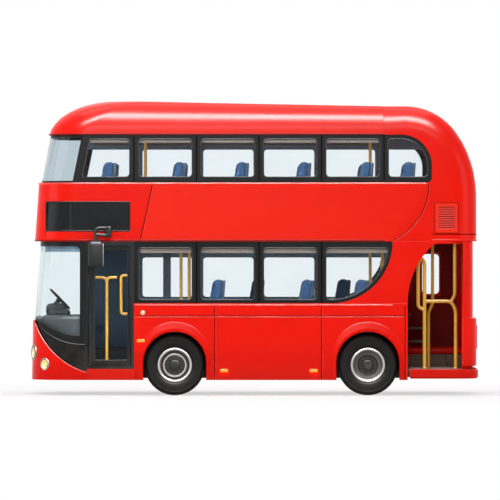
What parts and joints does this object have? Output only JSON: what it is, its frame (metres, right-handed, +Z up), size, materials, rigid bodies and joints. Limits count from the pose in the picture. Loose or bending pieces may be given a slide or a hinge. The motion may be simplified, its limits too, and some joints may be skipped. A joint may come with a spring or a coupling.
{
  "type": "double decker bus",
  "caption": "Two-deck town bus with a rounded roof, wrap-round windscreens, wide dark window bands, a swinging front door and an open rear platform with stairs.",
  "frame": {"origin": "on the ground under the middle of the overall box", "axes": "+X forward along the bus, +Y to the kerb side (left), +Z up"},
  "size_m": [6.766, 3.02, 4.4537],
  "materials": {
    "red_paint": "gloss",
    "black_trim": "gloss",
    "black_frame": "satin",
    "bare_steel": "satin",
    "glass": "clear",
    "lining": "matt",
    "floor_cover": "matt",
    "stair": "matt",
    "seat_cloth": "woven",
    "gold_rail": "gloss",
    "lamp_clear": "clear",
    "lamp_amber": "gloss",
    "lamp_red": "gloss",
    "steer": "grained",
    "tyre": "matt",
    "wheel_metal": "satin"
  },
  "bodies": {
    "bus": {"underframe": "black_frame", "engine_block": "bare_steel", "lower_floor": "floor_cover", "wheel_boxes": "black_frame", "upper_floor": "floor_cover", "lower_side_near": "red_paint", "lower_side_off": "red_paint", "quarter_panels": "red_paint", "mid_sides": "red_paint", "roof": "red_paint", "rear_dome": "red_paint", "rear_wall": "red_paint", "platform_edge": "red_paint", "front_bumper": "red_paint", "front_mask": "black_trim", "windscreen_frame": "black_trim", "windscreens": "glass", "front_band": "red_paint", "destination_displays": "black_trim", "upper_front_frame": "black_trim", "upper_bands": "black_trim", "lower_bands": "black_trim", "side_glass": "glass", "rear_glass": "glass", "linings": "lining", "arch_flares": "red_paint", "door_frame": "black_trim", "door_sill": "red_paint", "headlamps": "lamp_clear", "side_markers": "lamp_amber", "tail_lamps": "lamp_red", "vent_grilles": "red_paint", "mirrors": "black_trim", "cab": "black_frame", "driver_seat": "seat_cloth", "seat_cushions": "seat_cloth", "seat_backs": "seat_cloth", "seat_legs": "bare_steel", "seat_frames": "bare_steel", "grab_poles": "gold_rail", "staircase": "stair", "front_axle": "black_frame", "rear_axle": "black_frame"},
    "front_door": {"door_leaf": "black_trim", "door_glass": "glass", "door_rails": "gold_rail"},
    "knuckle_left": {"knuckle_left": "bare_steel"},
    "knuckle_right": {"knuckle_right": "bare_steel"},
    "steering_wheel": {"steering_wheel": "steer"},
    "wheel_front_left": {"tyre_front_left": "tyre", "rim_front_left": "wheel_metal"},
    "wheel_front_right": {"tyre_front_right": "tyre", "rim_front_right": "wheel_metal"},
    "wheel_rear_left": {"tyre_rear_left": "tyre", "rim_rear_left": "wheel_metal"},
    "wheel_rear_right": {"tyre_rear_right": "tyre", "rim_rear_right": "wheel_metal"}
  },
  "joints": [
    {"name": "front_door_swing", "type": "hinge", "parent": "bus", "child": "front_door", "pos_m": [2.481, 1.22, 1.355], "axis": [0, 0, 1], "range_deg": [0, 88]},
    {"name": "steer_left", "type": "hinge", "parent": "bus", "child": "knuckle_left", "pos_m": [1.207, 0.935, 0.455], "axis": [0, 0, 1], "range_deg": [-40, 40]},
    {"name": "steer_right", "type": "hinge", "parent": "bus", "child": "knuckle_right", "pos_m": [1.207, -0.935, 0.455], "axis": [0, 0, 1], "range_deg": [-40, 40]},
    {"name": "steering_wheel_turn", "type": "hinge", "parent": "bus", "child": "steering_wheel", "pos_m": [2.998, -0.56, 1.44], "axis": [-0.7071, 0, 0.7071], "range_deg": [-645, 645]},
    {"name": "front_left_spin", "type": "hinge", "parent": "knuckle_left", "child": "wheel_front_left", "pos_m": [1.207, 1.085, 0.455], "axis": [0, 1, 0], "continuous": true},
    {"name": "front_right_spin", "type": "hinge", "parent": "knuckle_right", "child": "wheel_front_right", "pos_m": [1.207, -1.085, 0.455], "axis": [0, 1, 0], "continuous": true},
    {"name": "rear_left_spin", "type": "hinge", "parent": "bus", "child": "wheel_rear_left", "pos_m": [-1.708, 1.085, 0.455], "axis": [0, 1, 0], "continuous": true},
    {"name": "rear_right_spin", "type": "hinge", "parent": "bus", "child": "wheel_rear_right", "pos_m": [-1.708, -1.085, 0.455], "axis": [0, 1, 0], "continuous": true}
  ],
  "couplings": [
    {"joint": "steer_right", "follows": "steer_left", "ratio": 1},
    {"joint": "steering_wheel_turn", "follows": "steer_left", "ratio": 16}
  ]
}
